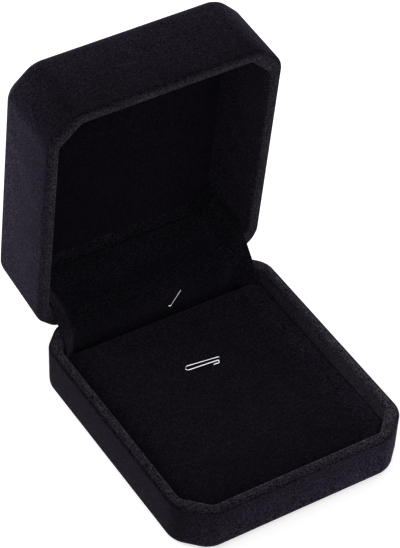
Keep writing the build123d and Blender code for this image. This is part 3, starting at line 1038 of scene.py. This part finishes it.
def bent_wire(name, points, diameter, bends):
    """Round wire along straight runs, led from one disc."""
    points = [Vector(point) for point in points]
    facing = (points[1] - points[0]).to_track_quat("Z", "Y").to_euler()
    deselect_all()
    bpy.ops.mesh.primitive_circle_add(vertices=WIRE_SIDES, radius=diameter / 2,
                                      fill_type="NGON", location=points[0], rotation=facing)
    wire = new_piece(name)
    edit(wire)
    bpy.ops.mesh.select_all(action="SELECT")
    lead_wire(wire, points, bends)
    close_wire(wire)
    return wire


def make_clip():
    """Clip: two long runs over the pad, a tail that crosses back, and both ends in the pad."""
    middle = Vector((1.0, 12.35, 0)) * MM
    turned = Matrix.Translation(middle) @ Matrix.Rotation(math.radians(-7.3), 4, "Z")
    half_length, width = 6.0 * MM, 1.77 * MM
    tail_left, tail_right, tail_y = 2.8 * MM, 4.6 * MM, -1.5 * MM
    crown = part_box("pad_cover")[1].z + 0.3 * MM
    over_pad, over_tail, on_pad = crown + 0.3 * MM, crown + 0.9 * MM, crown + 0.25 * MM
    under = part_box("pad_platform")[1].z - 3.0 * MM
    route = [
        (half_length, width / 2, under),
        (half_length, width / 2, over_pad),
        (-half_length, width / 2, over_pad),
        (-half_length, -width / 2, over_pad),
        (tail_right, -width / 2, over_tail),
        (tail_right, tail_y, on_pad),
        (tail_left, tail_y, on_pad),
        (tail_left, tail_y, under),
    ]
    into_pad, round_end, tight, tail_end = 1.1 * MM, 0.48 * width, 0.28 * MM, 0.45 * MM
    bends = [into_pad, round_end, round_end, tight, tight, tail_end]
    points = [turned @ Vector(point) for point in route]
    return bent_wire("pendant_clip_wire", points, sizes().clip_wire, bends)


def make_hook():
    """Hook: out of the back wall, a short foot to the right, and a slanted tip."""
    s = sizes()
    root_x, foot_x, tip_x = 5.6 * MM, 6.45 * MM, 9.9 * MM
    foot_z, tip_z = BASE_RIM - 6.4 * MM, BASE_RIM - 1.3 * MM
    bend = 0.35 * MM
    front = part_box("chain_hook")[0].y + s.hook_wire / 2
    wall = s.depth / 2 - s.base_wall
    route = [
        (root_x, wall, foot_z),
        (root_x, front, foot_z),
        (foot_x, front, foot_z),
        (tip_x, front, tip_z),
    ]
    return bent_wire("chain_hook_wire", route, s.hook_wire, [bend, bend])


class PENDANTBOX_OT_wires(bpy.types.Operator):
    """Bends the clip on the pad and the hook on the back wall out of wire"""

    bl_idname = "pendantbox.wires"
    bl_label = "Wires"

    def execute(self, context):
        material = metal("bright_wire", colours().wire, roughness=0.16, scale=900)
        finish_piece(make_clip(), material, "insert", "pendant_clip")
        finish_piece(make_hook(), material, "base", "chain_hook")
        return {"FINISHED"}


class PENDANTBOX_OT_spring(bpy.types.Operator):
    """Winds the closing spring round the hinge's pin, with an arm on each leaf"""

    bl_idname = "pendantbox.spring"
    bl_label = "Spring"

    def execute(self, context):
        s = sizes()
        full_turn = 2 * math.pi
        turning = full_turn * SPRING_TURNS + math.pi - OPEN_ANGLE
        steps = round(SPRING_STEPS_PER_TURN * turning / full_turn)
        height = s.spring_pitch * turning / full_turn
        slope = s.spring_pitch / (full_turn * s.spring_radius)
        leaf_gap = 0.02 * MM
        seat = HINGE.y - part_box("hinge_base_leaf")[0].y + s.spring_wire / 2 + leaf_gap
        half = Vector((height / 2, 0, 0))
        wound = Vector((0, 0, -s.spring_radius))

        deselect_all()
        bpy.ops.mesh.primitive_circle_add(vertices=SPRING_SIDES, radius=s.spring_wire / 2,
                                          fill_type="NOTHING", location=wound - half,
                                          rotation=(math.pi / 2, 0, 0))
        spring = new_piece("closing_spring")
        apply_modifier(spring, "SCREW", axis="X", angle=turning, screw_offset=height, steps=steps,
                       render_steps=steps)
        edit(spring)
        for turned, side in ((0.0, -1), (turning, 1)):
            rotation = Matrix.Rotation(turned, 3, "X")
            corner = side * half + rotation @ wound
            knee = corner + side * seat * (rotation @ Vector((0, 1, 0)) + Vector((slope, 0, 0)))
            tip = knee + rotation @ Vector((0, 0, -s.spring_arm))
            pick(spring, "EDGE", lambda edge: edge.is_boundary
                 and (edge.verts[0].co - corner).length < s.spring_wire)
            bpy.ops.mesh.edge_face_add()
            lead_wire(spring, [corner, knee, tip], [s.spring_bend])
        close_wire(spring)
        place(spring, Matrix.Translation(HINGE))
        material = metal("spring_steel", colours().hinge, roughness=0.28, scale=2400)
        finish_piece(spring, material, None, "hinge_spring")
        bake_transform(spring)
        return {"FINISHED"}


class PENDANTBOX_OT_hard_parts(bpy.types.Operator):
    """Gives the shells, the cards and the hinge their finishes"""

    bl_idname = "pendantbox.hard_parts"
    bl_label = "Hard Parts"

    def execute(self, context):
        c = colours()
        hinge = metal("plated_hinge", c.hinge, roughness=0.32, scale=1600)
        plastic = grained("moulded_plastic", c.shell, roughness=0.6, scale=2500,
                          depth=0.02 * MM)
        card = grained("grey_card", c.card, roughness=0.9, scale=1800, depth=0.05 * MM)
        paper = grained("grained_paper", c.paper, roughness=0.55, scale=1100, depth=0.12 * MM,
                        contrast=0.4)
        finishes = {
            "hinge_base_leaf": hinge,
            "hinge_lid_leaf": hinge,
            "hinge_pin": hinge,
            "hinge_base_rivets": hinge,
            "hinge_lid_rivets": hinge,
            "base_shell": plastic,
            "lid_shell": plastic,
            "base_lining_card": card,
            "lid_lining_card": card,
            "lid_panel_card": card,
            "pad_platform": card,
            "base_bottom_sheet": paper,
        }
        for node, material in finishes.items():
            dress(frame["nodes"][node], material)
        return {"FINISHED"}


# Stage


def add_floor():
    """Pale floor, which is lifted to white for the camera alone."""
    camera_lift = 0.6
    deselect_all()
    bpy.ops.mesh.primitive_plane_add(size=6.0, location=(0, 0, 0))
    floor = bpy.context.object
    floor.name = "floor"
    material, nodes, links, shader, coordinates = new_material("pale_floor")
    dust = add_noise(nodes, links, coordinates, scale=40, detail=2)
    tone = spread(nodes, links, dust, NOISE_RANGE, (0.995, 1.0))
    seen = nodes.new("ShaderNodeLightPath").outputs["Is Camera Ray"]
    lift = spread(nodes, links, seen, (0.0, 1.0), (0.0, camera_lift))
    links.new(tinted(nodes, links, colours().floor, tone), shader.inputs["Base Color"])
    links.new(lift, shader.inputs["Emission Strength"])
    shader.inputs["Emission Color"].default_value = (1, 1, 1, 1)
    shader.inputs["Roughness"].default_value = 0.9
    dress(floor, material)


def add_world():
    """White surroundings, dimmer as a light than for the camera and in reflections."""
    as_light, as_seen = 0.45, 1.0
    world = bpy.data.worlds.new("studio")
    bpy.context.scene.world = world
    world.use_nodes = True
    nodes, links = world.node_tree.nodes, world.node_tree.links
    background = nodes["Background"]
    background.inputs["Color"].default_value = (1, 1, 1, 1)
    rays = nodes.new("ShaderNodeLightPath").outputs
    seen = combined(nodes, links, "MAXIMUM", rays["Is Camera Ray"], rays["Is Glossy Ray"])
    strength = spread(nodes, links, seen, (0.0, 1.0), (as_light, as_seen))
    links.new(strength, background.inputs["Strength"])


def add_lamp(name, spot, aim, size, power):
    """Square soft box that faces a point."""
    lamp = bpy.data.lights.new(name, "AREA")
    lamp.size = size
    lamp.energy = power
    obj = bpy.data.objects.new(name, lamp)
    bpy.context.scene.collection.objects.link(obj)
    obj.location = spot
    obj.rotation_euler = (Vector(aim) - Vector(spot)).to_track_quat("-Z", "Y").to_euler()


def add_camera():
    """Camera at the photograph's angle."""
    turn = [math.radians(degrees) for degrees in (46.7379, -2.1199, -31.5658)]
    spot = (-0.315840, -0.460781, 0.584577)
    camera = bpy.data.cameras.new("camera")
    camera.lens = 173.01
    camera.sensor_width = 36.0
    camera.clip_start = 0.01
    camera.clip_end = 20.0
    obj = bpy.data.objects.new("camera", camera)
    obj.matrix_world = Matrix.LocRotScale(Vector(spot), Euler(turn, "XYZ"), None)
    bpy.context.scene.collection.objects.link(obj)
    bpy.context.scene.camera = obj


class PENDANTBOX_OT_stage(bpy.types.Operator):
    """Adds the floor, the light and the camera at the photograph's angle"""

    bl_idname = "pendantbox.stage"
    bl_label = "Stage"

    def execute(self, context):
        add_floor()
        add_world()
        add_lamp("key_box", spot=(-0.42, 0.22, 0.38), aim=(-0.02, 0.05, 0.05), size=0.35,
                 power=1.6)
        add_lamp("front_box", spot=(0.10, -0.80, 0.30), aim=(0, -0.03, 0.02), size=1.0, power=2.8)
        add_lamp("top_box", spot=(0.15, -0.10, 0.95), aim=(0, 0, 0.02), size=0.6, power=1.3)
        add_camera()
        context.scene.view_settings.view_transform = "Standard"
        return {"FINISHED"}


class PENDANTBOX_PT_panel(bpy.types.Panel):
    """Lists the pieces of the box with their sizes and colours"""

    bl_idname = "PENDANTBOX_PT_panel"
    bl_label = "Pendant Box"
    bl_space_type = "VIEW_3D"
    bl_region_type = "UI"
    bl_category = "Pendant Box"

    def draw(self, context):
        layout = self.layout
        for group in (sizes(), colours()):
            column = layout.column(align=True)
            for name in group.__annotations__:
                column.prop(group, name)
        for operator in OPERATORS:
            layout.operator(operator.bl_idname)


OPERATORS = (
    PENDANTBOX_OT_wraps,
    PENDANTBOX_OT_linings,
    PENDANTBOX_OT_pad,
    PENDANTBOX_OT_hinge_cloth,
    PENDANTBOX_OT_wires,
    PENDANTBOX_OT_spring,
    PENDANTBOX_OT_hard_parts,
    PENDANTBOX_OT_stage,
)
CLASSES = (PendantBoxSizes, PendantBoxColours, *OPERATORS, PENDANTBOX_PT_panel)


def register():
    """Registers the classes and the scene's settings."""
    for cls in CLASSES:
        bpy.utils.register_class(cls)
    bpy.types.Scene.pendant_box_sizes = PointerProperty(type=PendantBoxSizes)
    bpy.types.Scene.pendant_box_colours = PointerProperty(type=PendantBoxColours)


def unregister():
    """Removes the scene's settings and the classes."""
    del bpy.types.Scene.pendant_box_colours
    del bpy.types.Scene.pendant_box_sizes
    for cls in reversed(CLASSES):
        bpy.utils.unregister_class(cls)


def main():
    """Makes every piece."""
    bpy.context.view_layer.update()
    register()
    bpy.ops.pendantbox.wraps()
    bpy.ops.pendantbox.linings()
    bpy.ops.pendantbox.pad()
    bpy.ops.pendantbox.hinge_cloth()
    bpy.ops.pendantbox.wires()
    bpy.ops.pendantbox.spring()
    bpy.ops.pendantbox.hard_parts()
    bpy.ops.pendantbox.stage()


if __name__ == "__main__":
    main()
